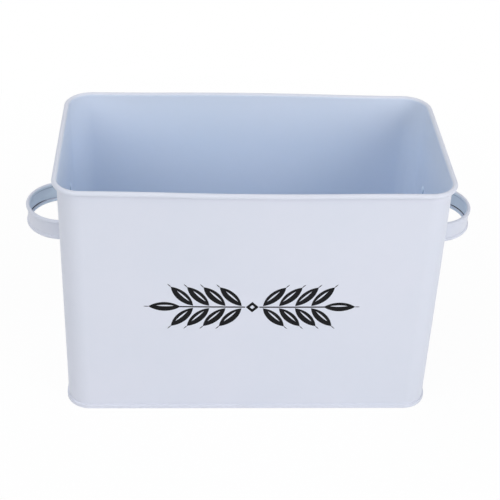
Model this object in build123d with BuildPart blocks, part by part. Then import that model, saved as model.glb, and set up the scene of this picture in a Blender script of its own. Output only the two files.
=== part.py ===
from build123d import *
import os
from math import acos, degrees

# Open-topped bread bin of thin painted sheet steel: one wrapped wall with a wired, outward-curled
# rim, a base locked on by a folded seam, and a strap handle with rolled edges riveted to each end.
# Millimetres. The origin is on the floor under the middle of the bin: +X to the right end, +Y to
# the back, +Z up.

os.makedirs("parts", exist_ok=True)

# Body: outer faces of the wall, and floor to the top of the rim
body_width = 320.0
body_depth = 165.0
body_height = 227.0
corner_radius = 20.0
wall_belly = 2.4  # how far a long wall swells outward at the rim, at its middle
sheet = 0.4  # thickness of the wall and the base

# Curled rim and the wire inside it
rim_radius = 2.2  # outside of the rolled bead
rim_gap = 0.3  # between the bead's free edge and the wall
wire_clearance = 0.05  # between the wire and the curl around it

# Folded seam that locks the base to the wall
seam_height = 4.0
seam_gap = 0.05  # between the folded layers
seam_foot_radius = 0.55  # bends of the ring that stands on the floor, at mid-sheet
fold_radius_share = 0.9  # bends of the hooks at mid-sheet, as a share of the layer pitch

# Base
base_rise = 5.0  # underside of the base's border above the floor
base_bend_radius = 1.0  # bend from the seam to the border, at mid-sheet
base_border = 6.0  # flat border between the seam and the pressed step
base_step_height = 1.0  # how far the middle of the base is pressed up
base_step_run = 1.5
base_step_radius = 0.6  # bends of the pressed step, at mid-sheet

# Strap handles
handle_sheet = 0.5
handle_width = 19.0  # from edge to edge of the strap, vertical
handle_span = 67.0  # outside of the two legs
handle_drop = 71.0  # top of the rim to the strap's middle
handle_leg = 0.1  # straight run between the foot's bend and the bow
bead_radius = 1.7  # outside of a rolled edge
bead_setback = 0.25  # middle of a rolled edge behind the middle of the web
bead_slit = 0.3  # between a rolled edge's free edge and the web
foot_bend_radius = 0.7  # at mid-sheet
foot_length = 12.0  # from the web's middle to the foot's tip
foot_height = 11.6
foot_corner_radius = 4.0

# Rivets, one in each foot
rivet_radius = 1.6
rivet_clearance = 0.05  # between the shank and its holes
rivet_head_radius = 3.6
rivet_head_height = 1.2
rivet_tail_radius = 2.8
rivet_tail_height = 1.0
rivet_tail_chamfer = 0.3

# How far a cut runs past what it cuts
overrun = 2.0

end_face = body_width / 2
side_face = body_depth / 2
corner_x = end_face - corner_radius
handle_z = body_height - handle_drop
rim_mid_radius = rim_radius - sheet / 2
rim_axis_x = end_face - sheet / 2 + rim_mid_radius
rim_axis_z = body_height - rim_radius
layer_pitch = sheet + seam_gap
fold_radius = fold_radius_share * layer_pitch


def layer(count):
    """X of the middle of a seam layer, counted outward from the wall, which is layer 0."""
    return end_face - sheet / 2 + count * layer_pitch


def section(points, radius):
    """Sheet-thick strip round the seam along points, in the plane across the middle of the right end."""
    with BuildSketch(Plane.XZ) as strip:
        with BuildLine():
            FilletPolyline(*points, radius=radius)
        trace(line_width=sheet)
    return strip.sketch


def wall_plan(swell):
    """Plan of the wall's outer face, whose long sides swell outward between the corners."""
    with BuildSketch() as plan:
        with BuildLine():
            Line((end_face, 0), (end_face, side_face - corner_radius))
            corner = CenterArc((corner_x, side_face - corner_radius), corner_radius, 0, 90)
            quarter_point = (corner_x / 2, side_face + swell / 2)
            middle = (0, side_face + swell)
            if swell:
                rise = TangentArc(corner @ 1, quarter_point, tangent=corner % 1)
                TangentArc(rise @ 1, middle, tangent=rise % 1)
            else:
                Polyline(corner @ 1, quarter_point, middle)
            mirror(about=Plane.YZ)
            mirror(about=Plane.XZ)
        make_face()
    return plan.sketch


# The wall is straight along its foot, and its long sides swell towards the open rim
foot_plan = wall_plan(0)
rim_plan = wall_plan(wall_belly)
foot_path = foot_plan.wire()
rim_path = rim_plan.wire().moved(Location((0, 0, rim_axis_z)))

# Rivet places, on both ends
web_radius = handle_span / 2 - bead_radius + bead_setback
foot_flat = foot_length - foot_bend_radius
rivet_y = web_radius + foot_length - foot_flat / 2
rivet_places = [(-rivet_y, handle_z), (rivet_y, handle_z)]

# Wall: one wrapped sheet, with flat ends, curled outward at the rim and hooked at the foot
hook_floor = sheet / 2 + layer_pitch
hook_top = seam_height - sheet - layer_pitch
curl_turn = 360 - degrees(acos((rim_axis_x - end_face - rim_gap) / rim_radius))

with BuildPart() as body_wall:
    for inset, mode in ((0, Mode.ADD), (sheet, Mode.SUBTRACT)):
        for height, plan in ((seam_height, foot_plan), (rim_axis_z, rim_plan)):
            with BuildSketch(Plane.XY.offset(height)):
                add(plan)
                if inset:
                    offset(amount=-inset)
        loft(ruled=True, mode=mode)
    Box(2 * corner_x, 2 * body_depth, 2 * body_height, mode=Mode.INTERSECT)
    with BuildSketch(Plane.XY.offset(seam_height)):
        add(foot_plan)
        offset(amount=-sheet, mode=Mode.SUBTRACT)
        Rectangle(2 * corner_x, 2 * body_depth, mode=Mode.SUBTRACT)
    extrude(amount=rim_axis_z - seam_height)
    for end in (-1, 1):
        with BuildSketch(Plane.YZ.offset(end * end_face)):
            with Locations(rivet_places):
                Circle(rivet_radius + rivet_clearance)
        extrude(amount=overrun, both=True, mode=Mode.SUBTRACT)
    with BuildSketch(Plane.XZ):
        with BuildLine():
            CenterArc((rim_axis_x, rim_axis_z), rim_mid_radius, 180, -curl_turn)
        trace(line_width=sheet)
    sweep(path=rim_path)
    hook_points = [
        (layer(0), seam_height),
        (layer(0), hook_floor),
        (layer(2), hook_floor),
        (layer(2), hook_top),
    ]
    sweep(section(hook_points, fold_radius), path=foot_path)
body_wall.part.label = "body_wall"
export_step(body_wall.part, "parts/body_wall.step")

# Wire: stiffens the rim from inside the curl
with BuildPart() as rim_wire:
    with BuildSketch(Plane.XZ):
        with Locations((rim_axis_x, rim_axis_z)):
            Circle(rim_radius - sheet - wire_clearance)
    sweep(path=rim_path)
rim_wire.part.label = "rim_wire"
export_step(rim_wire.part, "parts/rim_wire.step")

# Base: a pressed panel whose edge runs down inside the wall, under its hook and up round it
border_mid = base_rise + sheet / 2
panel_mid = border_mid + base_step_height
step_foot_x = layer(-1) - base_border
step_top_x = step_foot_x - base_step_run
panel_edge_x = step_top_x - base_step_run
panel_inset = end_face - panel_edge_x

with BuildPart() as base_panel:
    base_points = [
        (panel_edge_x, panel_mid),
        (step_top_x, panel_mid),
        (step_foot_x, border_mid),
        (layer(-1), border_mid),
        (layer(-1), sheet / 2),
        (layer(3), sheet / 2),
        (layer(3), seam_height - sheet / 2),
        (layer(1), seam_height - sheet / 2),
        (layer(1), hook_floor + sheet / 2 + layer_pitch),
    ]
    base_radii = [
        base_step_radius,
        base_step_radius,
        base_bend_radius,
        seam_foot_radius,
        seam_foot_radius,
        fold_radius,
        fold_radius,
    ]
    sweep(section(base_points, base_radii), path=foot_path)
    with BuildSketch(Plane.XY.offset(panel_mid - sheet / 2)):
        add(foot_plan)
        offset(amount=-panel_inset)
    extrude(amount=sheet)
base_panel.part.label = "base_panel"
export_step(base_panel.part, "parts/base_panel.step")

# Handles: a strap with both edges rolled inward, bowed out from the wall, with a flat foot at each end
bow_radius = handle_span / 2 - bead_radius
bow_x = end_face + handle_sheet / 2 + foot_bend_radius + handle_leg
bead_mid_radius = bead_radius - handle_sheet / 2
bead_z = handle_width / 2 - bead_radius
web_height = 2 * (bead_z - bead_mid_radius) + handle_sheet
bead_start = degrees(acos(bead_setback / bead_mid_radius))
bead_end = 180 + degrees(acos((bead_slit + handle_sheet / 2 - bead_setback) / bead_mid_radius))

with BuildPart() as right_handle:
    with BuildLine(Plane.XY.offset(handle_z)) as strap_path:
        front_leg = Line((bow_x - handle_leg, -bow_radius), (bow_x, -bow_radius))
        bow = CenterArc((bow_x, 0), bow_radius, -90, 180)
        Line(bow @ 1, (bow_x - handle_leg, bow_radius))
    with BuildSketch(Plane(front_leg @ 0, x_dir=(0, -1, 0), z_dir=(-1, 0, 0))):
        with Locations((bead_setback, 0)):
            Rectangle(handle_sheet, web_height)
        for edge in (1, -1):
            with BuildLine() as bead:
                CenterArc((0, edge * bead_z), bead_mid_radius, -edge * bead_start, edge * (bead_start + bead_end))
            trace(bead.line, line_width=handle_sheet)
    sweep(path=strap_path.line)
    with BuildSketch(Plane.XY.offset(handle_z)):
        with BuildLine() as foot:
            foot_points = [
                (bow_x, web_radius),
                (end_face + handle_sheet / 2, web_radius),
                (end_face + handle_sheet / 2, web_radius + foot_length),
            ]
            FilletPolyline(*foot_points, radius=foot_bend_radius)
        trace(foot.line, line_width=handle_sheet)
        mirror(about=Plane.XZ)
    extrude(amount=foot_height / 2, both=True)
    foot_tips = right_handle.edges().filter_by(Axis.X).group_by(Axis.Y)
    fillet(foot_tips[0] + foot_tips[-1], radius=foot_corner_radius)
    with BuildSketch(Plane.YZ.offset(end_face)):
        with Locations(rivet_places):
            Circle(rivet_radius + rivet_clearance)
    extrude(amount=overrun, mode=Mode.SUBTRACT)
right_handle.part.label = "right_handle"
export_step(right_handle.part, "parts/right_handle.step")

with BuildPart() as left_handle:
    mirror(right_handle.part, about=Plane.YZ)
left_handle.part.label = "left_handle"
export_step(left_handle.part, "parts/left_handle.step")


def rivet_profile():
    """Half section of a rivet: domed head inside the wall, shank, and a flattened tail on the foot."""
    head_seat = -sheet
    tail_seat = handle_sheet
    tail_top = tail_seat + rivet_tail_height
    dome_radius = (rivet_head_radius**2 + rivet_head_height**2) / (2 * rivet_head_height)
    RadiusArc((0, head_seat - rivet_head_height), (rivet_head_radius, head_seat), -dome_radius)
    Polyline(
        (rivet_head_radius, head_seat),
        (rivet_radius, head_seat),
        (rivet_radius, tail_seat),
        (rivet_tail_radius, tail_seat),
        (rivet_tail_radius, tail_top - rivet_tail_chamfer),
        (rivet_tail_radius - rivet_tail_chamfer, tail_top),
        (0, tail_top),
        (0, head_seat - rivet_head_height),
    )


# Rivets: their heads bear on the inside of the wall and their tails on the handles' feet
for side, side_name in ((-1, "left"), (1, "right")):
    for end, end_name in ((-1, "front"), (1, "rear")):
        seat = Plane((side * end_face, end * rivet_y, handle_z), x_dir=(0, 1, 0), z_dir=(0, 0, -side))
        with BuildPart() as rivet:
            with BuildSketch(seat):
                with BuildLine():
                    rivet_profile()
                make_face()
            revolve(axis=Axis(seat.origin, seat.y_dir))
        rivet.part.label = f"{side_name}_{end_name}_rivet"
        export_step(rivet.part, f"parts/{rivet.part.label}.step")
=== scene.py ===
"""Dresses an open-topped sheet-steel bread bin: folded sheet, coat, strap handles and printed wheat."""

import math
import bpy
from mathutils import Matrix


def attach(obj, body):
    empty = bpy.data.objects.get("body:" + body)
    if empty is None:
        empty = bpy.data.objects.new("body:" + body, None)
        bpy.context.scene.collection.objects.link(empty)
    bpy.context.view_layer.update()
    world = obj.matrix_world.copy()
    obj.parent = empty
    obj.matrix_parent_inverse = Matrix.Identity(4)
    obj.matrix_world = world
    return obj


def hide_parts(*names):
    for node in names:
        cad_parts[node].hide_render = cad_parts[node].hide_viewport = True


bl_info = {
    "name": "Bread Bin",
    "version": (1, 0, 0),
    "blender": (4, 5, 0),
    "location": "View3D > Sidebar > Bread Bin",
    "description": "Folds the sheet of an open bread bin, coats it and sets it on a pale floor",
    "category": "Object",
}

import bmesh
import bpy
from bpy.props import FloatProperty, FloatVectorProperty, IntProperty, PointerProperty
from mathutils import Matrix, Vector

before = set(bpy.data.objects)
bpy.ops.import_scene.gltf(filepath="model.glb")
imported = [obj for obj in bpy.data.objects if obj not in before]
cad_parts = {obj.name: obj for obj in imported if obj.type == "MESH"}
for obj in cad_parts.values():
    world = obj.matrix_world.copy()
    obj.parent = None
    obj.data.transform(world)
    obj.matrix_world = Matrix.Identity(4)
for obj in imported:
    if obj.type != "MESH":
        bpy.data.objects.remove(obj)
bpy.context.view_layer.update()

BODY = "root"

MERGE = 1e-6  # vertices nearer to each other than this are one
SUPPORT = 0.0006  # flat strip kept beside each bend, so that the shading of a flat face stays flat
SHORT_RUN = 4 * SUPPORT  # too short for two strips
SHARP = math.radians(40)  # creases sharper than this aren't smoothed

# Steps that the bends and curves are made in
FOLD_STEP = math.radians(12)  # the largest one in a folded edge
CORNER_STEPS = 18
LONG_SIDE_STEPS = 18
UPPER_WALL_STEPS = 3
CURL_STEPS = 36
BEAD_STEPS = 30
BOW_STEPS = 64
BEND_STEPS = 8
TINY_BEND_STEPS = 5
HOLE_STEPS = 24
RIVET_STEPS = 32
GRAIN_STEPS = 14
STEM_STEPS = 20
FLOOR_STEPS = 64

# Where a tone begins and where it is full
WALL_INWARD = (0.0, 0.4)  # how squarely the wall faces the middle of the bin
RIM_INSIDE = (0.3, 0.8)  # down from the top of the rim, in rim radii
BASE_UPWARD = (0.3, 0.6)  # how squarely the base faces up
BASE_REACH = 0.0015  # to either side of the base's pressed middle
RIVET_SHADOW_EDGE = (0.25, 0.1)  # painted shadow ring: from the edge of a rivet's head, in head radii
RIVET_SHADOW_UNDER = (0.7, 0.2)  # painted shadow ring: up from the middle of a rivet's head, in head radii
STRAP_INWARD = (0.5, 0.95)  # how squarely a strap faces the middle of its bow
STRAP_WEB = (-0.4, -0.2)  # outward from the middle of the rolled edges, in sheets
SLIT_OPENING = (0.28, 0.38)  # outward from the middle of the bow, in spans, where the painted slit shadow and the near-black hollow come in
UPPER_CREVICE_SHADE = (-1.9, -1.2)  # painted crevice shade: past the middle of a rolled edge, in its radii
LOWER_CREVICE_SHADE = (-1.5, -1.1)
# painted shadow at the slit under the lower rolled edge, in its radii
LOWER_SLIT_SHADOW = (-1.45, -1.35)
BEAD_HOLLOW = (0.5, 0.1)  # outward from the inside of a rolled edge, in sheets; bare steel there, painted near black as shade

# Sprayed film and drawn wire: noise scales per metre, and the noise values that are used
WAVE_SCALE = 11.0
CLOUD_SCALE = 90.0
PEEL_SCALE = 620.0
WIRE_SCALE = 260.0
MIDDLE_NOISE = (0.35, 0.65)
WIDE_NOISE = (0.3, 0.7)
DULL_NOISE = (0.35, 0.7)
WAVE_SHARE = 0.7  # of the drift of tone that follows the slow waves
CLOUD_SHARE = 0.3  # of the drift of tone that follows the clouds
UNEVEN_SHEEN = (0.9, 1.1)  # times the film's roughness
WIRE_SHEEN = (0.28, 0.45)  # roughness of the wire
PEEL_DEPTH = 0.00001

# Sockets of a Mix node that mixes colours
MIX_AMOUNT = 0
MIX_FIRST = 6
MIX_SECOND = 7
MIX_RESULT = 2

# Kinds of a node group's sockets
COLOUR = "NodeSocketColor"
VALUE = "NodeSocketFloat"

# Heading from the right end towards the back, and rise over the floor, in degrees
LAMP_PLACES = {"key": (-45, 25), "fill": (-135, 35), "top": (180, 75), "rear": (90, 45)}
SENSOR_WIDTH = 36.0
WHITE = (1, 1, 1, 1)
FLOOR_RADIUS = 6.0
SHADOW_REACH = (0.25, 0.6)  # distance over which the floor's shadow gives way to white
FLOOR_WHITE = (0.95, 1.0)  # share of plain white near the bin, and far from it


def number(name, description, default, **kind):
    """A number that a user may change."""
    return FloatProperty(name=name, description=description, default=default, **kind)


def length(name, description, metres):
    """A length that a user may change."""
    return number(name, description, metres, min=0.0, unit="LENGTH", precision=5)


def share(name, description, part):
    """A share of another size that a user may change."""
    return number(name, description, part, min=0.0, max=1.0, subtype="FACTOR")


def angle(name, description, degrees):
    """An angle that a user may change."""
    return number(name, description, math.radians(degrees), subtype="ANGLE")


def power(name, description, watts):
    """A lamp's power that a user may change."""
    return number(name, description, watts, min=0.0, unit="POWER")


def colour(name, description, linear):
    """A colour that a user may change."""
    return FloatVectorProperty(
        name=name, description=description, default=linear, size=3, min=0.0, max=1.0, subtype="COLOR"
    )


class BinSizes(bpy.types.PropertyGroup):
    """Sizes of the wall and the base."""

    width: length("Width", "Across the outer faces of the end walls", 0.320)
    depth: length("Depth", "Across the outer faces of the long walls, at the foot", 0.165)
    height: length("Height", "Floor to the top of the rim", 0.227)
    corner_radius: length("Corner radius", "Upright corners of the wall, outside", 0.020)
    belly: length("Belly", "How far a long wall swells outward at the rim, at its middle", 0.0024)
    sheet: length("Sheet", "Thickness of the wall and the base", 0.0004)
    rim_radius: length("Rim radius", "Outside of the rolled rim", 0.0022)
    rim_gap: length("Rim gap", "Between the free edge of the rolled rim and the wall", 0.0003)
    seam_height: length("Seam height", "Folded seam round the foot", 0.004)
    seam_gap: length("Seam gap", "Between the folded layers of the seam", 0.00005)
    seam_foot_radius: length("Seam foot radius", "Bends of the ring that stands on the floor", 0.00055)
    fold_radius: length("Fold radius", "Bends of the hooks inside the seam", 0.000405)
    base_rise: length("Base rise", "Underside of the base's border above the floor", 0.005)
    base_bend_radius: length("Base bend radius", "Bend from the seam to the border", 0.001)
    base_border: length("Base border", "Flat border between the seam and the pressed step", 0.006)
    step_height: length("Step height", "How far the middle of the base is pressed up", 0.001)
    step_run: length("Step run", "Length of the pressed step", 0.0015)
    step_radius: length("Step radius", "Bends of the pressed step", 0.0006)
    seam_fill: length("Seam fill", "Coat that has run into the groove over the seam", 0.0009)
    # Painted light: depth below the rim over which the inside turns lighter towards the rim.
    rim_light_fade: length("Coat fade", "Depth below the rim over which the inside coat changes tone", 0.052)


class HandleSizes(bpy.types.PropertyGroup):
    """Sizes of the strap handles and their rivets."""

    sheet: length("Strap sheet", "Thickness of the strap", 0.0005)
    width: length("Strap width", "From edge to edge of the strap, upright", 0.019)
    span: length("Span", "Outside of the two legs", 0.067)
    drop: length("Drop", "Top of the rim to the middle of the strap", 0.071)
    leg: length("Leg", "Straight run between the bend of the foot and the bow", 0.0001)
    bead_radius: length("Bead radius", "Outside of a rolled edge", 0.0017)
    bead_setback: length("Bead setback", "Middle of a rolled edge behind the middle of the web", 0.00025)
    bead_root: length("Bead root", "Bend from the web into a rolled edge", 0.0005)
    bead_slit: length("Bead slit", "Between the free edge of a rolled edge and the web", 0.0003)
    foot_bend_radius: length("Foot bend radius", "Bend from the web to a foot", 0.0007)
    foot_length: length("Foot length", "From the middle of the web to the tip of a foot", 0.012)
    foot_height: length("Foot height", "Upright size of a foot", 0.0116)
    foot_corner_radius: length("Foot corner radius", "Rounded tip of a foot", 0.004)
    rivet_radius: length("Rivet radius", "Shank of a rivet", 0.0016)
    rivet_clearance: length("Rivet clearance", "Between a shank and its holes", 0.00005)
    head_radius: length("Head radius", "Domed head of a rivet", 0.0036)
    head_height: length("Head height", "Domed head of a rivet", 0.0012)
    tail_radius: length("Tail radius", "Flattened tail of a rivet", 0.0028)
    tail_height: length("Tail height", "Flattened tail of a rivet", 0.001)
    tail_round: length("Tail round", "Rounded edge of a rivet's tail", 0.0003)


class OrnamentSizes(bpy.types.PropertyGroup):
    """Sizes of the printed ornament."""

    height: length("Height", "Middle of the ornament above the floor", 0.1135)
    pairs: IntProperty(name="Pairs", description="Pairs of grains on each ear", default=4, min=1)
    start: length("Start", "Middle of the ornament to the first pair of grains", 0.009)
    pitch: length("Pitch", "Between the pairs of grains", 0.0136)
    grain_length: length("Grain length", "A grain from end to end", 0.027)
    grain_width: length("Grain width", "A grain at its middle", 0.0092)
    grain_lean: angle("Grain lean", "Angle of a grain to its stem", 46)
    grain_offset: share("Grain offset", "Foot of a grain off its stem's middle, in stem widths", 0.9)
    slit_length: share("Slit length", "Light slit in a grain, in grain lengths", 0.56)
    slit_width: share("Slit width", "Light slit in a grain, in grain widths", 0.16)
    slit_start: share("Slit start", "Foot of a grain to its light slit, in grain lengths", 0.20)
    slit_lift: share("Slit lift", "Light slit off the middle of its grain, in grain widths", 0.1)
    awn_length: length("Awn length", "Bristle at the tip of a grain", 0.005)
    awn_width: share("Awn width", "Bristle at its middle, in stem widths", 0.6)
    awn_start: share("Awn start", "Foot of a grain to its bristle, in grain lengths", 0.97)
    line: length("Line", "Width of a stem", 0.0013)
    stem_gap: length("Stem gap", "Middle of the ornament to a stem", 0.006)
    tip_overlap: length("Tip overlap", "How far the last grain reaches back over its stem", 0.003)
    diamond: length("Diamond", "Middle of the diamond to its corners", 0.0055)
    diamond_heart: length("Diamond heart", "Middle of the diamond to its light heart's corners", 0.0021)
    film: length("Film", "Thickness of the printed ink", 0.00004)


class Finishes(bpy.types.PropertyGroup):
    """Colours of the coat, the print, the wire and the floor, and of the painted light and shade on the
    coat.
    """

    coat: colour("Coat", "Satin coat outside", (0.70, 0.72, 0.81))
    coat_drift: colour("Coat drift", "What the outside coat drifts towards in places", (0.68, 0.71, 0.80))
    # Painted light: the inside has the same coat as the outside, and this bluer, lighter tone stands in for
    # the light that bounces round inside the bin.
    inside: colour("Inside coat", "Satin coat on the inside of the wall", (0.694, 0.782, 0.930))
    # Painted light: a lighter tone inside, close below the rim, where more light falls in.
    inside_rim_light: colour("Inside rim", "Satin coat inside, close below the rim", (0.752, 0.817, 0.930))
    # Painted shade: the handles have the same coat as the wall, and this bluer tone stands in for the
    # shaded light on their inward faces.
    strap_inside_shade: colour("Strap inside", "Satin coat on the inside of the handles", (0.68, 0.785, 0.885))
    # Painted shade: stands in for the shadow in the crevice beside a handle's rolled edge and at the lower
    # edge of a rivet's head.
    crevice: colour("Crevice", "Thin coat in the crevice beside a rolled edge", (0.32, 0.41, 0.51))
    # Partly real, partly painted shade: the unsprayed steel inside a rolled edge, made near black for the
    # shadow in it; also the near-black painted shadow at the slit under the lower rolled edge.
    bare: colour("Bare steel", "Inside the rolled edges, where no spray reaches", (0.005, 0.011, 0.022))
    ink: colour("Ink", "Printed ornament", (0.008, 0.008, 0.0095))
    ink_drift: colour("Ink drift", "What the ink drifts towards in places", (0.012, 0.012, 0.014))
    wire: colour("Wire", "Drawn wire inside the rim", (0.55, 0.55, 0.56))
    wire_dull: colour("Dull wire", "Duller places on the wire", (0.385, 0.385, 0.392))
    floor: colour("Floor", "Pale floor", (0.94, 0.94, 0.94))
    sky: colour("Sky", "Even light from all round", (0.96, 0.98, 1.0))


class StageSettings(bpy.types.PropertyGroup):
    """Camera and light."""

    turn: angle("Turn", "Camera's heading, to the right of straight on", 3.84)
    tilt: angle("Tilt", "How far the camera looks down", 34.41)
    roll: angle("Roll", "Camera's roll, to the left", 2.505)
    distance: length("Distance", "Camera to the point that it turns round", 1.0993)
    aside: length("Aside", "That point, to the right of the bin's middle", 0.0016)
    above: length("Above", "That point, above the floor", 0.1145)
    lens: number("Lens", "Focal length on a 36 mm sensor", 88.09, min=1.0, unit="CAMERA")
    sky: number("Sky", "Strength of the even light from all round", 0.311, min=0.0)
    key: power("Key", "Large lamp at the front right", 22.3)
    fill: power("Fill", "Large lamp at the front left", 12.4)
    top: power("Top", "Large lamp nearly overhead, a little to the left", 11.9)
    rear: power("Rear", "Large lamp at the rear, half way up", 3.4)
    lamp_distance: length("Lamp distance", "From the bin to each lamp", 2.2)
    lamp_size: length("Lamp size", "Side of each square lamp", 1.4)


def everything(bm):
    """All vertices, edges and faces of a mesh."""
    return bm.verts[:] + bm.edges[:] + bm.faces[:]


def edges_of(verts):
    """The edges at some vertices, each of them once and always in the same order."""
    return list(dict.fromkeys(edge for vert in verts for edge in vert.link_edges))


def turn(bm, geom, centre, axis, sweep, steps, **options):
    """Carries geometry round a bend and returns what ends there."""
    spun = bmesh.ops.spin(bm, geom=geom, cent=centre, axis=axis, angle=sweep, steps=steps, **options)
    return spun["geom_last"]


def run(bm, geom, offset, steps=1):
    """Carries geometry along a straight run and returns what ends there."""
    return turn(bm, geom, (0, 0, 0), (0, 0, 1), 0, steps, dvec=Vector(offset) / steps)


def guarded_run(bm, geom, offset, steps=1):
    """A straight run with a short flat strip at each end."""
    offset = Vector(offset)
    strip = offset.normalized() * SUPPORT
    if offset.length < SHORT_RUN:
        return run(bm, geom, offset)
    geom = run(bm, geom, strip)
    geom = run(bm, geom, offset - 2 * strip, steps)
    return run(bm, geom, strip)


def draw_fold(bm, points, radii):
    """Draws a folded sheet's middle line through points (x, z), bent at the inner ones; returns its end."""
    corners = [Vector((x, 0, z)) for x, z in points]
    headings = [(b - a).normalized() for a, b in zip(corners, corners[1:])]
    tip = [bm.verts.new(corners[0])]
    start = corners[0]
    for index, corner in enumerate(corners[1:]):
        last = index == len(headings) - 1
        heading = headings[index]
        following = heading if last else headings[index + 1]
        left = Vector((-heading.z, 0, heading.x))
        sweep = math.atan2(left.dot(following), heading.dot(following))
        radius = 0 if last else radii[index]
        tangent = radius * math.tan(abs(sweep) / 2)
        tip = guarded_run(bm, tip, corner - heading * tangent - start)
        if sweep:
            centre = tip[0].co + left * math.copysign(radius, sweep)
            tip = turn(bm, tip, centre, (0, -1, 0), sweep, math.ceil(abs(sweep) / FOLD_STEP))
        start = tip[0].co.copy()
    return tip


def wrap(bm, sizes, end_stops):
    """Carries a section from the right end's middle round a quarter of the bin, with columns at stops."""
    corner_x = sizes.width / 2 - sizes.corner_radius
    corner_y = sizes.depth / 2 - sizes.corner_radius
    geom = everything(bm)
    stops = [0, *end_stops, corner_y - SUPPORT, corner_y]
    for low, high in zip(stops, stops[1:]):
        geom = run(bm, geom, (0, high - low, 0))
    geom = turn(bm, geom, (corner_x, corner_y, 0), (0, 0, 1), math.pi / 2, CORNER_STEPS)
    geom = run(bm, geom, (-SUPPORT, 0, 0))
    run(bm, geom, (SUPPORT - corner_x, 0, 0), LONG_SIDE_STEPS)


def weld(bm):
    """Merges doubled vertices and turns the faces outward."""
    bmesh.ops.remove_doubles(bm, verts=bm.verts, dist=MERGE)
    bmesh.ops.recalc_face_normals(bm, faces=bm.faces)


def mirror_round(bm):
    """Mirrors a quarter of the bin to the whole of it."""
    for axis in ("X", "Y"):
        bmesh.ops.mirror(bm, geom=everything(bm), matrix=Matrix(), merge_dist=MERGE, axis=axis)
    weld(bm)


def thicken(bm, sheet):
    """Gives a drawn surface its sheet thickness, half to each side."""
    bm.normal_update()
    moves = [vert.normal * (vert.calc_shell_factor() * sheet / 2) for vert in bm.verts]
    for vert, move in zip(bm.verts, moves):
        vert.co += move
    bmesh.ops.solidify(bm, geom=bm.faces[:], thickness=sheet)
    if bm.calc_volume(signed=True) < 0:
        bmesh.ops.reverse_faces(bm, faces=bm.faces)


def pierce(bm, straps, seat):
    """Makes a rivet's hole in the face that lies at its seat."""
    face = min(bm.faces, key=lambda face: (face.calc_center_bounds() - seat).length)
    outline = face.edges[:]
    bmesh.ops.delete(bm, geom=[face], context="FACES_ONLY")
    axis = Vector((1, 0, 0))
    place = Matrix.Translation(seat) @ axis.to_track_quat("Z", "Y").to_matrix().to_4x4()
    radius = straps.rivet_radius + straps.rivet_clearance
    circle = bmesh.ops.create_circle(bm, segments=HOLE_STEPS, radius=radius, matrix=place)["verts"]
    bmesh.ops.triangle_fill(bm, edges=outline + edges_of(circle), use_beauty=True, normal=axis)


def layer(sizes, count):
    """X of the middle of a seam layer, counted outward from the wall, which is layer 0."""
    return sizes.width / 2 - sizes.sheet / 2 + count * (sizes.sheet + sizes.seam_gap)


def swell(sizes, x, z):
    """How far a long wall stands out at a place, past its straight foot."""
    inward = 1 - abs(x) / (sizes.width / 2 - sizes.corner_radius)
    if inward <= 0:
        return 0.0
    bump = 2 * inward**2 if inward < 0.5 else 1 - 2 * (1 - inward) ** 2
    rise = (z - sizes.seam_height) / (sizes.height - sizes.rim_radius - sizes.seam_height)
    return sizes.belly * bump * min(max(rise, 0.0), 1.0)


def rivet_place(sizes, straps):
    """Y and Z of a rivet in the right end's rear foot."""
    web = straps.span / 2 - straps.bead_radius + straps.bead_setback
    flat = straps.foot_length - straps.foot_bend_radius
    return web + straps.foot_length - flat / 2, sizes.height - straps.drop


def bow_centre(sizes, straps):
    """X of the middle of the right handle's bow."""
    return sizes.width / 2 + straps.sheet / 2 + straps.foot_bend_radius + straps.leg


def mesh_from(bm, name):
    """Ends a bmesh and returns what it made as a mesh."""
    mesh = bpy.data.meshes.new(name)
    bm.to_mesh(mesh)
    bm.free()
    return mesh


def finish_piece(bm, name, material, *nodes):
    """Makes a piece from its mesh, coats it and lets it stand for its CAD nodes."""
    mesh = mesh_from(bm, name)
    mesh.shade_smooth()
    mesh.set_sharp_from_angle(angle=SHARP)
    mesh.materials.append(material)
    piece = bpy.data.objects.new(name, mesh)
    bpy.context.collection.objects.link(piece)
    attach(piece, BODY)
    if nodes:
        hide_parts(*nodes)


def node(tree, kind, links=None, **values):
    """Adds a node, sets its values and links its inputs."""
    made = tree.nodes.new(kind)
    for key, value in values.items():
        setattr(made, key, value)
    for socket, source in (links or {}).items():
        if isinstance(source, bpy.types.NodeSocket):
            tree.links.new(source, made.inputs[socket])
        else:
            made.inputs[socket].default_value = source
    return made


def math_node(tree, operation, *terms):
    """Adds a Math node and returns its output."""
    return node(tree, "ShaderNodeMath", dict(enumerate(terms)), operation=operation).outputs[0]


def both(tree, first, second):
    """Where two masks are both 1."""
    return math_node(tree, "MULTIPLY", first, second)


def remap(tree, value, low, high, to_low, to_high):
    """Maps a value from one range to another, held at its ends, and returns the output."""
    terms = (value, low, high, to_low, to_high)
    return node(tree, "ShaderNodeMapRange", dict(enumerate(terms))).outputs[0]


def fade(tree, value, bounds, unit=1.0, origin=0.0):
    """0 to 1 as a value passes from one bound to the other, which count in a unit from an origin."""
    start, full = (origin + bound * unit for bound in bounds)
    return remap(tree, value, start, full, 0.0, 1.0)


def mix_colours(tree, amount, first, second, blend_type="MIX"):
    """Mixes two colours and returns the output."""
    links = {MIX_AMOUNT: amount, MIX_FIRST: first, MIX_SECOND: second}
    mix = node(tree, "ShaderNodeMix", links, data_type="RGBA", blend_type=blend_type)
    return mix.outputs[MIX_RESULT]


def noise(tree, scale, detail, roughness):
    """Adds a noise that is fixed to the piece and returns its value."""
    place = node(tree, "ShaderNodeTexCoord").outputs["Object"]
    links = {"Vector": place, "Scale": scale, "Detail": detail, "Roughness": roughness}
    return node(tree, "ShaderNodeTexNoise", links).outputs["Fac"]


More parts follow.
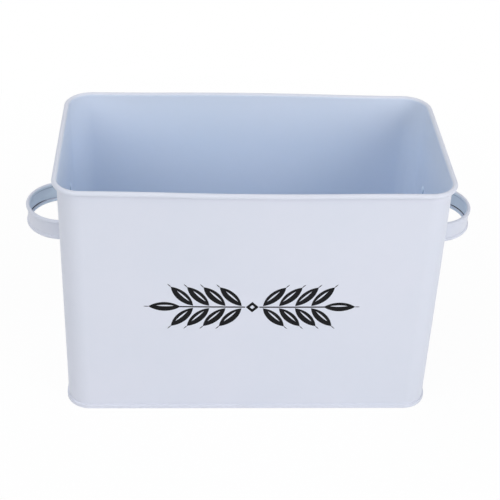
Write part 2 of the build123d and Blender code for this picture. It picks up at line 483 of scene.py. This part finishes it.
def place_parts(tree):
    """X, Y and Z of the place on the piece."""
    place = node(tree, "ShaderNodeTexCoord").outputs["Object"]
    return node(tree, "ShaderNodeSeparateXYZ", {0: place}).outputs


def distance(tree, **parts):
    """Length of a vector that has these parts."""
    vector = node(tree, "ShaderNodeCombineXYZ", parts).outputs[0]
    return node(tree, "ShaderNodeVectorMath", {0: vector}, operation="LENGTH").outputs["Value"]


def new_material(name):
    """Starts a material and returns it with its nodes and its shader."""
    material = bpy.data.materials.new(name)
    material.use_nodes = True
    return material, material.node_tree, material.node_tree.nodes["Principled BSDF"]


def new_group(name, inputs, outputs):
    """Starts a shader node group, with sockets by kind, and returns it with its two ends."""
    group = bpy.data.node_groups.new(name, "ShaderNodeTree")
    for in_out, sockets in (("INPUT", inputs), ("OUTPUT", outputs)):
        for kind, names in sockets.items():
            for socket in names:
                group.interface.new_socket(name=socket, in_out=in_out, socket_type=kind)
    return group, group.nodes.new("NodeGroupInput"), group.nodes.new("NodeGroupOutput")


def sprayed_film_group():
    """Sprayed and baked film: slow drift of tone, orange peel, and a sheen that is a little uneven."""
    name = "sprayed_film"
    if name in bpy.data.node_groups:
        return bpy.data.node_groups[name]
    inputs = {COLOUR: ("Colour", "Drift Colour"), VALUE: ("Roughness", "Peel", "Sheet Wave")}
    group, given, result = new_group(name, inputs, {COLOUR: ("Colour",), VALUE: ("Roughness", "Height")})
    wave = noise(group, WAVE_SCALE, detail=2.0, roughness=0.4)
    cloud = noise(group, CLOUD_SCALE, detail=4.0, roughness=0.6)
    peel = noise(group, PEEL_SCALE, detail=2.0, roughness=0.35)
    wave_drift = remap(group, wave, *MIDDLE_NOISE, 0.0, WAVE_SHARE)
    cloud_drift = remap(group, cloud, *MIDDLE_NOISE, 0.0, CLOUD_SHARE)
    drift = math_node(group, "ADD", wave_drift, cloud_drift)
    tone = mix_colours(group, drift, given.outputs["Colour"], given.outputs["Drift Colour"])
    unevenness = remap(group, cloud, *WIDE_NOISE, *UNEVEN_SHEEN)
    uneven = math_node(group, "MULTIPLY", given.outputs["Roughness"], unevenness)
    peel_height = math_node(group, "MULTIPLY", peel, given.outputs["Peel"])
    wave_height = math_node(group, "MULTIPLY", wave, given.outputs["Sheet Wave"])
    group.links.new(tone, result.inputs["Colour"])
    group.links.new(uneven, result.inputs["Roughness"])
    group.links.new(math_node(group, "ADD", peel_height, wave_height), result.inputs["Height"])
    return group


def facing_inward_group():
    """0 to 1 as faces turn towards an upright axis at a reach from the bin's middle, to either side."""
    name = "facing_inward"
    if name in bpy.data.node_groups:
        return bpy.data.node_groups[name]
    group, given, result = new_group(name, {VALUE: ("Reach", "Low", "High")}, {VALUE: ("Mask",)})
    parts = place_parts(group)
    axis_x = math_node(group, "MULTIPLY", math_node(group, "SIGN", parts["X"]), given.outputs["Reach"])
    apart = {"X": math_node(group, "SUBTRACT", parts["X"], axis_x), "Y": parts["Y"]}
    level = node(group, "ShaderNodeCombineXYZ", apart).outputs[0]
    outward = node(group, "ShaderNodeVectorMath", {0: level}, operation="NORMALIZE").outputs[0]
    facing = node(group, "ShaderNodeNewGeometry").outputs["Normal"]
    dot = node(group, "ShaderNodeVectorMath", {0: facing, 1: outward}, operation="DOT_PRODUCT")
    inward = math_node(group, "MULTIPLY", dot.outputs["Value"], -1.0)
    mask = remap(group, inward, given.outputs["Low"], given.outputs["High"], 0.0, 1.0)
    group.links.new(mask, result.inputs["Mask"])
    return group


def inward_mask(tree, reach, bounds):
    """Places the group for faces that look inward, and returns its mask."""
    low, high = bounds
    values = {"Reach": reach, "Low": low, "High": high}
    return node(tree, "ShaderNodeGroup", values, node_tree=facing_inward_group()).outputs["Mask"]


def film_material(name, tone, drift, roughness, specular, peel, wave):
    """A coat or ink whose film is sprayed on."""
    material, tree, shader = new_material(name)
    shader.inputs["Specular IOR Level"].default_value = specular
    values = {"Colour": (*tone, 1), "Drift Colour": (*drift, 1)}
    values |= {"Roughness": roughness, "Peel": peel, "Sheet Wave": wave}
    film = node(tree, "ShaderNodeGroup", values, node_tree=sprayed_film_group()).outputs
    relief = {"Strength": 1.0, "Distance": PEEL_DEPTH, "Height": film["Height"]}
    tree.links.new(film["Colour"], shader.inputs["Base Color"])
    tree.links.new(film["Roughness"], shader.inputs["Roughness"])
    tree.links.new(node(tree, "ShaderNodeBump", relief).outputs["Normal"], shader.inputs["Normal"])
    return material


def tint(tree, mask, tone, usual):
    """Gives a coat another tone than its usual one where a mask is 1, and keeps its drift."""
    entry = tree.nodes["Principled BSDF"].inputs["Base Color"]
    ratio = (*(part / whole for part, whole in zip(tone, usual)), 1)
    tree.links.new(mix_colours(tree, mask, entry.links[0].from_socket, ratio, "MULTIPLY"), entry)


def bin_inside_mask(tree, sizes):
    """1 on the inner faces of the wall below the rim, and on the base's upper side, where the painted
    bounce light goes.
    """
    place_z = place_parts(tree)["Z"]
    facing = node(tree, "ShaderNodeNewGeometry").outputs["Normal"]
    facing_z = node(tree, "ShaderNodeSeparateXYZ", {0: facing}).outputs["Z"]
    below_rim = fade(tree, place_z, RIM_INSIDE, -sizes.rim_radius, sizes.height)
    wall = both(tree, inward_mask(tree, 0.0, WALL_INWARD), below_rim)
    panel = sizes.base_rise + sizes.step_height
    at_panel = math_node(tree, "COMPARE", place_z, panel, BASE_REACH)
    base = both(tree, fade(tree, facing_z, BASE_UPWARD), at_panel)
    return math_node(tree, "MAXIMUM", wall, base)


def bead_nodes(tree, sizes, straps):
    """Place along a handle, outward from its rolled edges, and past the upper and lower one's middle."""
    parts = place_parts(tree)
    along = math_node(tree, "SUBTRACT", math_node(tree, "ABSOLUTE", parts["X"]), bow_centre(sizes, straps))
    reach = distance(tree, X=along, Y=parts["Y"])
    outward = math_node(tree, "SUBTRACT", reach, straps.span / 2 - straps.bead_radius)
    middle = sizes.height - straps.drop
    bead = straps.width / 2 - straps.bead_radius
    past_upper = math_node(tree, "SUBTRACT", parts["Z"], middle + bead)
    past_lower = math_node(tree, "SUBTRACT", middle - bead, parts["Z"])
    return along, outward, past_upper, past_lower


def rivet_nodes(tree, sizes, straps):
    """Distance from the axis of the nearer rivet, on either end wall, and height above it."""
    parts = place_parts(tree)
    rivet_y, rivet_z = rivet_place(sizes, straps)
    across = math_node(tree, "SUBTRACT", math_node(tree, "ABSOLUTE", parts["Y"]), rivet_y)
    above = math_node(tree, "SUBTRACT", parts["Z"], rivet_z)
    return distance(tree, Y=across, Z=above), above


def body_coat(scene):
    """Coat of the wall, the base and the rivets: bluer inside as painted bounce light, lighter close below
    the rim as painted light, and with a painted shadow at the lower edge of the rivets' heads.
    """
    name = "satin_coat_body"
    if name in bpy.data.materials:
        return bpy.data.materials[name]
    finish, sizes, straps = scene.bin_finishes, scene.bin_sizes, scene.bin_handles
    material = film_material(
        name, finish.coat, finish.coat_drift, roughness=0.48, specular=0.35, peel=1.2, wave=6.0
    )
    tree = material.node_tree
    # Painted light: a bluer, lighter tone on the inside faces, for the light that bounces round inside the
    # bin.
    inside = bin_inside_mask(tree, sizes)
    tint(tree, inside, finish.inside, finish.coat)
    # Painted light: the inside turns lighter towards the rim.
    painted_rim_light = fade(tree, place_parts(tree)["Z"], (sizes.height - sizes.rim_light_fade, sizes.height))
    tint(tree, both(tree, inside, painted_rim_light), finish.inside_rim_light, finish.inside)
    # Painted shadow: a dark ring at the lower edge of each rivet's head, inside the bin.
    from_axis, above = rivet_nodes(tree, sizes, straps)
    from_edge = math_node(tree, "ABSOLUTE", math_node(tree, "SUBTRACT", from_axis, straps.head_radius))
    ring = fade(tree, from_edge, RIVET_SHADOW_EDGE, straps.head_radius)
    under = both(tree, ring, fade(tree, above, RIVET_SHADOW_UNDER, straps.head_radius))
    tint(tree, both(tree, inside, under), finish.crevice, finish.coat)
    return material


def handle_coat(scene):
    """Coat of the handles, which leaves the inside of their rolled edges bare, painted near black as shade,
    with painted shade on the inward faces, in the crevices and at the lower slit.
    """
    name = "satin_coat_handles"
    if name in bpy.data.materials:
        return bpy.data.materials[name]
    finish, sizes, straps = scene.bin_finishes, scene.bin_sizes, scene.bin_handles
    material = film_material(
        name, finish.coat, finish.coat_drift, roughness=0.46, specular=0.35, peel=1.0, wave=0.0
    )
    tree = material.node_tree
    # Painted shade: a bluer tone on the faces that look into the bow.
    inside = inward_mask(tree, bow_centre(sizes, straps), STRAP_INWARD)
    tint(tree, inside, finish.strap_inside_shade, finish.coat)
    along, outward, past_upper, past_lower = bead_nodes(tree, sizes, straps)
    radius = straps.bead_radius
    beside = both(tree, inside, fade(tree, outward, STRAP_WEB, straps.sheet))
    opening = fade(tree, along, SLIT_OPENING, straps.span)
    # Painted shade: dark lines in the crevices beside the rolled edges, on the inward faces of the web.
    upper = fade(tree, past_upper, UPPER_CREVICE_SHADE, radius)
    lower = both(tree, opening, fade(tree, past_lower, LOWER_CREVICE_SHADE, radius))
    crevice = math_node(tree, "MAXIMUM", upper, lower)
    tint(tree, both(tree, beside, crevice), finish.crevice, finish.strap_inside_shade)
    # Painted shadow: near black on the web at the slit under the lower rolled edge, fading out towards the
    # legs.
    slit = both(tree, opening, fade(tree, past_lower, LOWER_SLIT_SHADOW, radius))
    tint(tree, both(tree, beside, slit), finish.bare, finish.crevice)
    # Bare steel inside the rolled edges, painted near black as shade, fading out towards the legs.
    apart = distance(tree, X=outward, Y=math_node(tree, "MAXIMUM", past_upper, past_lower))
    hollow = fade(tree, apart, BEAD_HOLLOW, straps.sheet, radius - straps.sheet)
    tint(tree, both(tree, opening, hollow), finish.bare, finish.coat)
    return material


class BREAD_BIN_OT_wall(bpy.types.Operator):
    """Wrap the wall sheet, curl its rim outward, hook its foot and swell its long sides"""

    bl_idname = "bread_bin.wall"
    bl_label = "Wall and Rim"
    bl_options = {"REGISTER", "UNDO"}

    def execute(self, context):
        sizes, straps = context.scene.bin_sizes, context.scene.bin_handles
        pitch = sizes.sheet + sizes.seam_gap
        rivet_y, rivet_z = rivet_place(sizes, straps)
        clear = straps.head_radius
        rim_z = sizes.height - sizes.rim_radius
        mid_radius = sizes.rim_radius - sizes.sheet / 2
        face_gap = sizes.rim_radius - sizes.sheet - sizes.rim_gap
        hook_floor = sizes.sheet / 2 + pitch
        hook_points = [
            (layer(sizes, 2), sizes.seam_height - sizes.sheet - pitch),
            (layer(sizes, 2), hook_floor),
            (layer(sizes, 0), hook_floor),
            (layer(sizes, 0), rivet_z - clear),
        ]
        bm = bmesh.new()
        tip = draw_fold(bm, hook_points, [sizes.fold_radius, sizes.fold_radius])
        tip = run(bm, tip, (0, 0, 2 * clear))
        tip = guarded_run(bm, tip, (0, 0, rim_z - rivet_z - clear), UPPER_WALL_STEPS)
        curl = 2 * math.pi - math.acos(face_gap / sizes.rim_radius)
        turn(bm, tip, (layer(sizes, 0) + mid_radius, 0, rim_z), (0, -1, 0), -curl, CURL_STEPS)
        wrap(bm, sizes, (rivet_y - clear, rivet_y + clear))
        pierce(bm, straps, Vector((layer(sizes, 0), rivet_y, rivet_z)))
        mirror_round(bm)
        for vert in bm.verts:
            vert.co.y += math.copysign(swell(sizes, vert.co.x, vert.co.z), vert.co.y)
        thicken(bm, sizes.sheet)
        finish_piece(bm, "wrapped_wall", body_coat(context.scene), "body_wall")
        return {"FINISHED"}


class BREAD_BIN_OT_base(bpy.types.Operator):
    """Press the base, and fold its edge under and round the hook of the wall"""

    bl_idname = "bread_bin.base"
    bl_label = "Seamed Base"
    bl_options = {"REGISTER", "UNDO"}

    def fill_groove(self, bm, sizes):
        """Adds the coat that has run into the groove between the seam and the wall."""
        face = sizes.width / 2
        radius = sizes.seam_fill
        sunk = sizes.sheet / 4
        fill = bmesh.new()
        top = sizes.seam_height + radius - sunk
        first = fill.verts.new((face, 0, top))
        tip = turn(fill, [first], (face + radius, 0, top), (0, -1, 0), math.pi / 2, BEND_STEPS)
        tip = run(fill, tip, (0, 0, -sizes.sheet))
        tip = run(fill, tip, (-radius, 0, 0))
        fill.edges.new((tip[0], first))
        wrap(fill, sizes, ())
        mirror_round(fill)
        mesh = mesh_from(fill, "groove_fill")
        bm.from_mesh(mesh)
        bpy.data.meshes.remove(mesh)

    def execute(self, context):
        sizes = context.scene.bin_sizes
        pitch = sizes.sheet + sizes.seam_gap
        border = sizes.base_rise + sizes.sheet / 2
        panel = border + sizes.step_height
        step_foot = layer(sizes, -1) - sizes.base_border
        points = [
            (step_foot - 2 * sizes.step_run, panel),
            (step_foot - sizes.step_run, panel),
            (step_foot, border),
            (layer(sizes, -1), border),
            (layer(sizes, -1), sizes.sheet / 2),
            (layer(sizes, 3), sizes.sheet / 2),
            (layer(sizes, 3), sizes.seam_height - sizes.sheet / 2),
            (layer(sizes, 1), sizes.seam_height - sizes.sheet / 2),
            (layer(sizes, 1), sizes.sheet + 2 * pitch),
        ]
        step, bend = sizes.step_radius, sizes.base_bend_radius
        foot, fold = sizes.seam_foot_radius, sizes.fold_radius
        bm = bmesh.new()
        draw_fold(bm, points, [step, step, bend, foot, foot, fold, fold])
        wrap(bm, sizes, ())
        mirror_round(bm)
        inner = [edge for edge in bm.edges if edge.is_boundary and edge.verts[0].co.z > border]
        bmesh.ops.edgeloop_fill(bm, edges=inner)
        bmesh.ops.recalc_face_normals(bm, faces=bm.faces)
        thicken(bm, sizes.sheet)
        self.fill_groove(bm, sizes)
        finish_piece(bm, "seamed_base", body_coat(context.scene), "base_panel")
        return {"FINISHED"}


class BREAD_BIN_OT_handles(bpy.types.Operator):
    """Roll both edges of a strap, bow it, bend its feet and set one on each end"""

    bl_idname = "bread_bin.handles"
    bl_label = "Strap Handles"
    bl_options = {"REGISTER", "UNDO"}

    def section(self, bm, straps, bow, web):
        """Draws the strap's section: a web with a foot's height in its middle, and its rolled edges."""
        bead = straps.bead_radius - straps.sheet / 2
        bead_z = straps.width / 2 - straps.bead_radius
        foot_half = straps.foot_height / 2
        hug = math.acos((straps.bead_setback + straps.bead_root) / (bead + straps.bead_root))
        root_z = bead_z - (bead + straps.bead_root) * math.sin(hug)
        free_gap = straps.bead_slit + straps.sheet / 2 - straps.bead_setback
        free_edge = math.pi + math.acos(free_gap / bead)
        tip = [bm.verts.new((web, 0, foot_half))]
        tip = run(bm, tip, (0, 0, root_z - foot_half))
        tip = turn(bm, tip, (web + straps.bead_root, 0, root_z), (0, -1, 0), -hug, TINY_BEND_STEPS)
        turn(bm, tip, (bow, 0, bead_z), (0, -1, 0), hug + free_edge, BEAD_STEPS)
        bmesh.ops.mirror(bm, geom=everything(bm), matrix=Matrix(), merge_dist=MERGE, axis="Z")
        on_web = [vert for vert in bm.verts if abs(vert.co.x - web) < MERGE]
        bm.edges.new([vert for vert in on_web if abs(abs(vert.co.z) - foot_half) < MERGE])

    def foot(self, bm, sizes, straps, side, web):
        """Bends a foot out of one end of the web, rounds its tip and pierces it."""
        leg_x = bow_centre(sizes, straps) - straps.leg
        rivet_y, rivet_z = rivet_place(sizes, straps)
        start = Vector((leg_x, side * web, rivet_z))
        edge = min(bm.edges, key=lambda edge: ((edge.verts[0].co + edge.verts[1].co) / 2 - start).length)
        bend = Vector((leg_x, side * (web + straps.foot_bend_radius), rivet_z))
        geom = turn(bm, [edge, *edge.verts], bend, (0, 0, 1), -side * math.pi / 2, BEND_STEPS)
        geom = run(bm, geom, (0, side * (straps.foot_length - straps.foot_bend_radius), 0))
        tips = [part for part in geom if isinstance(part, bmesh.types.BMVert)]
        bmesh.ops.bevel(
            bm,
            geom=tips,
            offset=straps.foot_corner_radius,
            offset_type="OFFSET",
            segments=BEND_STEPS,
            profile=0.5,
            affect="VERTICES",
            material=-1,
        )
        pierce(bm, straps, Vector((sizes.width / 2 + straps.sheet / 2, side * rivet_y, rivet_z)))

    def strap(self, sizes, straps):
        """The right handle's mesh."""
        bow = straps.span / 2 - straps.bead_radius
        web = bow + straps.bead_setback
        centre = Vector((bow_centre(sizes, straps), 0, sizes.height - straps.drop))
        leg = Vector((straps.leg, 0, 0))
        bm = bmesh.new()
        self.section(bm, straps, bow, web)
        quarter = Matrix.Rotation(-math.pi / 2, 3, "Z")
        bmesh.ops.rotate(bm, verts=bm.verts, cent=(0, 0, 0), matrix=quarter)
        bmesh.ops.translate(bm, verts=bm.verts, vec=centre - leg)
        geom = run(bm, everything(bm), leg)
        geom = turn(bm, geom, centre, (0, 0, 1), math.pi, BOW_STEPS)
        run(bm, geom, -leg)
        for side in (-1, 1):
            self.foot(bm, sizes, straps, side, web)
        weld(bm)
        thicken(bm, straps.sheet)
        return bm

    def execute(self, context):
        sizes, straps = context.scene.bin_sizes, context.scene.bin_handles
        for side, name in ((1, "right"), (-1, "left")):
            bm = self.strap(sizes, straps)
            if side < 0:
                bmesh.ops.scale(bm, vec=(-1, 1, 1), verts=bm.verts)
                bmesh.ops.reverse_faces(bm, faces=bm.faces)
            finish_piece(bm, f"{name}_strap", handle_coat(context.scene), f"{name}_handle")
        return {"FINISHED"}


class BREAD_BIN_OT_rivets(bpy.types.Operator):
    """Turn the four rivets: a domed head inside the wall and a flattened tail on the foot of the handle"""

    bl_idname = "bread_bin.rivets"
    bl_label = "Rivets"
    bl_options = {"REGISTER", "UNDO"}

    def rivet(self, sizes, straps):
        """A rivet along X, whose zero is the outer face of the wall."""
        dome = (straps.head_radius**2 + straps.head_height**2) / (2 * straps.head_height)
        apex = -sizes.sheet - straps.head_height
        tail_top = straps.sheet + straps.tail_height
        round_centre = (tail_top - straps.tail_round, 0, straps.tail_radius - straps.tail_round)
        bm = bmesh.new()
        tip = [bm.verts.new((apex, 0, 0))]
        dome_sweep = math.asin(straps.head_radius / dome)
        tip = turn(bm, tip, (apex + dome, 0, 0), (0, 1, 0), dome_sweep, BEND_STEPS)
        tip = run(bm, tip, (0, 0, straps.rivet_radius - straps.head_radius))
        tip = run(bm, tip, (sizes.sheet + straps.sheet, 0, 0))
        tip = run(bm, tip, (0, 0, straps.tail_radius - straps.rivet_radius))
        tip = run(bm, tip, (straps.tail_height - straps.tail_round, 0, 0))
        tip = turn(bm, tip, round_centre, (0, 1, 0), math.pi / 2, TINY_BEND_STEPS)
        run(bm, tip, (0, 0, straps.tail_round - straps.tail_radius))
        turn(bm, everything(bm), (0, 0, 0), (1, 0, 0), 2 * math.pi, RIVET_STEPS, use_merge=True)
        return bm

    def execute(self, context):
        sizes, straps = context.scene.bin_sizes, context.scene.bin_handles
        rivet_y, rivet_z = rivet_place(sizes, straps)
        for side, side_name in ((-1, "left"), (1, "right")):
            for end, end_name in ((-1, "front"), (1, "rear")):
                bm = self.rivet(sizes, straps)
                bmesh.ops.scale(bm, vec=(side, 1, 1), verts=bm.verts)
                seat = (side * sizes.width / 2, end * rivet_y, rivet_z)
                bmesh.ops.translate(bm, vec=seat, verts=bm.verts)
                weld(bm)
                name = f"rivet_{side_name}_{end_name}"
                finish_piece(bm, name, body_coat(context.scene), f"{side_name}_{end_name}_rivet")
        return {"FINISHED"}


class BREAD_BIN_OT_rim_wire(bpy.types.Operator):
    """Give the wire inside the rim its drawn steel"""

    bl_idname = "bread_bin.rim_wire"
    bl_label = "Rim Wire"
    bl_options = {"REGISTER", "UNDO"}

    def execute(self, context):
        finish = context.scene.bin_finishes
        material, tree, shader = new_material("drawn_wire")
        shader.inputs["Metallic"].default_value = 1.0
        mottle = noise(tree, WIRE_SCALE, detail=5.0, roughness=0.65)
        dull = fade(tree, mottle, DULL_NOISE)
        tone = mix_colours(tree, dull, (*finish.wire, 1), (*finish.wire_dull, 1))
        tree.links.new(tone, shader.inputs["Base Color"])
        tree.links.new(remap(tree, mottle, *WIDE_NOISE, *WIRE_SHEEN), shader.inputs["Roughness"])
        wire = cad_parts["rim_wire"]
        wire.data.materials.clear()
        wire.data.materials.append(material)
        return {"FINISHED"}


class BREAD_BIN_OT_ornament(bpy.types.Operator):
    """Print two ears of wheat, stem to stem, on the front of the wall"""

    bl_idname = "bread_bin.ornament"
    bl_label = "Wheat Ornament"
    bl_options = {"REGISTER", "UNDO"}

    def outline(self, bm, size, width, shift=0.0):
        """A pointed oval along X from the origin, as a closed line."""
        half = size / 2
        radius = (half**2 + (width / 2) ** 2) / width
        sweep = 2 * math.asin(half / radius)
        before = set(bm.verts)
        for side in (-1, 1):
            start = [bm.verts.new((0, 0, 0))]
            turn(bm, start, (half, 0, -side * (radius - width / 2)), (0, side, 0), sweep, GRAIN_STEPS)
        verts = [vert for vert in bm.verts if vert not in before]
        bmesh.ops.remove_doubles(bm, verts=verts, dist=MERGE)
        verts = [vert for vert in bm.verts if vert not in before]
        bmesh.ops.translate(bm, verts=verts, vec=(shift, 0, 0))
        return verts

    def grain(self, bm, sizes, place):
        """One grain with a light slit along its middle, and its bristle."""
        grain_length, grain_width = sizes.grain_length, sizes.grain_width
        outer = self.outline(bm, grain_length, grain_width)
        slit_length, slit_width = sizes.slit_length * grain_length, sizes.slit_width * grain_width
        inner = self.outline(bm, slit_length, slit_width, sizes.slit_start * grain_length)
        bmesh.ops.translate(bm, verts=inner, vec=(0, 0, sizes.slit_lift * grain_width))
        bmesh.ops.bridge_loops(bm, edges=edges_of(outer + inner))
        awn_width = sizes.awn_width * sizes.line
        bristle = self.outline(bm, sizes.awn_length, awn_width, sizes.awn_start * grain_length)
        bmesh.ops.contextual_create(bm, geom=edges_of(bristle))
        bmesh.ops.transform(bm, matrix=place, verts=outer + inner + bristle)

    def ear(self, bm, sizes, upright):
        """The right ear: its pairs of grains, the grain at its tip, and its stem."""
        for pair in range(sizes.pairs):
            for side in (-1, 1):
                lean = Matrix.Rotation(-side * sizes.grain_lean, 4, "Y")
                seat = (sizes.start + pair * sizes.pitch, 0, side * sizes.grain_offset * sizes.line)
                self.grain(bm, sizes, Matrix.Translation(seat) @ lean)
        stem_end = sizes.start + sizes.pairs * sizes.pitch
        self.grain(bm, sizes, Matrix.Translation((stem_end - sizes.tip_overlap, 0, 0)))
        stem = bmesh.ops.create_grid(bm, x_segments=STEM_STEPS, y_segments=1, size=0.5)["verts"]
        span = Matrix.Diagonal((stem_end - sizes.stem_gap, sizes.line, 1, 1))
        middle = Matrix.Translation(((stem_end + sizes.stem_gap) / 2, 0, 0))
        bmesh.ops.transform(bm, matrix=middle @ upright @ span, verts=stem)

    def execute(self, context):
        sizes, wall = context.scene.bin_ornament, context.scene.bin_sizes
        finish = context.scene.bin_finishes
        upright = Matrix.Rotation(math.pi / 2, 4, "X")
        bm = bmesh.new()
        self.ear(bm, sizes, upright)
        bmesh.ops.mirror(bm, geom=everything(bm), matrix=Matrix(), merge_dist=0, axis="X")
        diamond = []
        for radius in (sizes.diamond, sizes.diamond_heart):
            diamond += bmesh.ops.create_circle(bm, segments=4, radius=radius)["verts"]
        bmesh.ops.transform(bm, matrix=upright, verts=diamond)
        bmesh.ops.bridge_loops(bm, edges=edges_of(diamond))
        bmesh.ops.translate(bm, vec=(0, 0, sizes.height), verts=bm.verts)
        for vert in bm.verts:
            vert.co.y = -wall.depth / 2 - swell(wall, vert.co.x, vert.co.z) - sizes.film
        bmesh.ops.recalc_face_normals(bm, faces=bm.faces)
        thicken(bm, sizes.film)
        ink = film_material(
            "printed_ink", finish.ink, finish.ink_drift, roughness=0.5, specular=0.08, peel=0.5, wave=0.0
        )
        finish_piece(bm, "wheat_ornament", ink)
        return {"FINISHED"}


class BREAD_BIN_OT_stage(bpy.types.Operator):
    """Lay the pale floor, set the soft lights and place the camera"""

    bl_idname = "bread_bin.stage"
    bl_label = "Stage"
    bl_options = {"REGISTER", "UNDO"}

    def seen(self, tree):
        """1 for what the camera sees, directly, in gloss or through glass."""
        path = node(tree, "ShaderNodeLightPath").outputs
        indirect = math_node(tree, "MAXIMUM", path["Is Glossy Ray"], path["Is Transmission Ray"])
        return math_node(tree, "MAXIMUM", path["Is Camera Ray"], indirect)

    def floor(self, scene):
        """Wide floor that looks white and still takes the bin's shadow."""
        bm = bmesh.new()
        bmesh.ops.create_circle(bm, cap_ends=True, segments=FLOOR_STEPS, radius=FLOOR_RADIUS)
        mesh = mesh_from(bm, "floor")
        material, tree, shader = new_material("pale_floor")
        shader.inputs["Base Color"].default_value = (*scene.bin_finishes.floor, 1)
        shader.inputs["Roughness"].default_value = 0.9
        shader.inputs["Specular IOR Level"].default_value = 0.1
        white = node(tree, "ShaderNodeEmission", {"Color": WHITE, "Strength": 1.0})
        place = place_parts(tree)
        away = distance(tree, X=place["X"], Y=place["Y"])
        whiteness = both(tree, self.seen(tree), remap(tree, away, *SHADOW_REACH, *FLOOR_WHITE))
        mix = node(tree, "ShaderNodeMixShader", {0: whiteness, 1: shader.outputs[0], 2: white.outputs[0]})
        tree.links.new(mix.outputs[0], tree.nodes["Material Output"].inputs["Surface"])
        mesh.materials.append(material)
        floor = bpy.data.objects.new("floor", mesh)
        scene.collection.objects.link(floor)

    def sky(self, scene):
        """Even light from all round, white where the camera sees it."""
        world = bpy.data.worlds.new("studio")
        world.use_nodes = True
        tree = world.node_tree
        light = tree.nodes["Background"]
        light.inputs["Color"].default_value = (*scene.bin_finishes.sky, 1)
        light.inputs["Strength"].default_value = scene.bin_stage.sky
        white = node(tree, "ShaderNodeBackground", {"Color": WHITE, "Strength": 1.0})
        links = {0: self.seen(tree), 1: light.outputs[0], 2: white.outputs[0]}
        mix = node(tree, "ShaderNodeMixShader", links)
        tree.links.new(mix.outputs[0], tree.nodes["World Output"].inputs["Surface"])
        scene.world = world

    def soft_light(self, scene, name, heading, rise):
        """A large square lamp that faces the bin."""
        view = scene.bin_stage
        lamp = bpy.data.lights.new(name, "AREA")
        lamp.shape = "SQUARE"
        lamp.size = view.lamp_size
        lamp.energy = getattr(view, name)
        holder = bpy.data.objects.new(name, lamp)
        toward = Matrix.Rotation(heading, 3, "Z") @ Vector((math.cos(rise), 0, math.sin(rise)))
        holder.location = Vector((0, 0, view.above)) + toward * view.lamp_distance
        holder.rotation_euler = toward.to_track_quat("Z", "Y").to_euler()
        scene.collection.objects.link(holder)

    def camera(self, scene):
        """Camera at the viewing angle of the picture."""
        view = scene.bin_stage
        heading = Matrix.Rotation(-view.turn, 4, "Z")
        looking = heading @ Matrix.Rotation(math.pi / 2 - view.tilt, 4, "X")
        target = heading @ Vector((view.aside, 0, 0)) + Vector((0, 0, view.above))
        away = looking @ Vector((0, 0, view.distance))
        rolled = looking @ Matrix.Rotation(view.roll, 4, "Z")
        data = bpy.data.cameras.new("camera")
        data.sensor_width = SENSOR_WIDTH
        data.lens = view.lens
        camera = bpy.data.objects.new("camera", data)
        camera.matrix_world = Matrix.Translation(target + away) @ rolled
        scene.collection.objects.link(camera)
        scene.camera = camera

    def execute(self, context):
        scene = context.scene
        scene.view_settings.view_transform = "Standard"
        self.floor(scene)
        self.sky(scene)
        for name, (heading, rise) in LAMP_PLACES.items():
            self.soft_light(scene, name, math.radians(heading), math.radians(rise))
        self.camera(scene)
        return {"FINISHED"}


class BREAD_BIN_PT_panel(bpy.types.Panel):
    """Sizes, finishes and steps of the bread bin"""

    bl_idname = "BREAD_BIN_PT_panel"
    bl_label = "Bread Bin"
    bl_space_type = "VIEW_3D"
    bl_region_type = "UI"
    bl_category = "Bread Bin"

    def draw(self, context):
        layout = self.layout
        for step in STEPS:
            layout.operator(step.bl_idname)
        for name, group in SETTINGS.items():
            box = layout.box()
            box.label(text=group.__doc__)
            for setting in group.__annotations__:
                box.prop(getattr(context.scene, name), setting)


STEPS = (
    BREAD_BIN_OT_wall,
    BREAD_BIN_OT_base,
    BREAD_BIN_OT_handles,
    BREAD_BIN_OT_rivets,
    BREAD_BIN_OT_rim_wire,
    BREAD_BIN_OT_ornament,
    BREAD_BIN_OT_stage,
)
SETTINGS = {
    "bin_sizes": BinSizes,
    "bin_handles": HandleSizes,
    "bin_ornament": OrnamentSizes,
    "bin_finishes": Finishes,
    "bin_stage": StageSettings,
}
CLASSES = (*SETTINGS.values(), *STEPS, BREAD_BIN_PT_panel)


def register():
    """Adds the settings, the steps and the panel."""
    for added in CLASSES:
        bpy.utils.register_class(added)
    for name, group in SETTINGS.items():
        setattr(bpy.types.Scene, name, PointerProperty(type=group))


def unregister():
    """Removes what register added."""
    for name in SETTINGS:
        delattr(bpy.types.Scene, name)
    for added in reversed(CLASSES):
        bpy.utils.unregister_class(added)


def main():
    """Builds the bin piece by piece."""
    register()
    bpy.ops.bread_bin.wall()
    bpy.ops.bread_bin.base()
    bpy.ops.bread_bin.handles()
    bpy.ops.bread_bin.rivets()
    bpy.ops.bread_bin.rim_wire()
    bpy.ops.bread_bin.ornament()
    bpy.ops.bread_bin.stage()


if __name__ == "__main__":
    main()
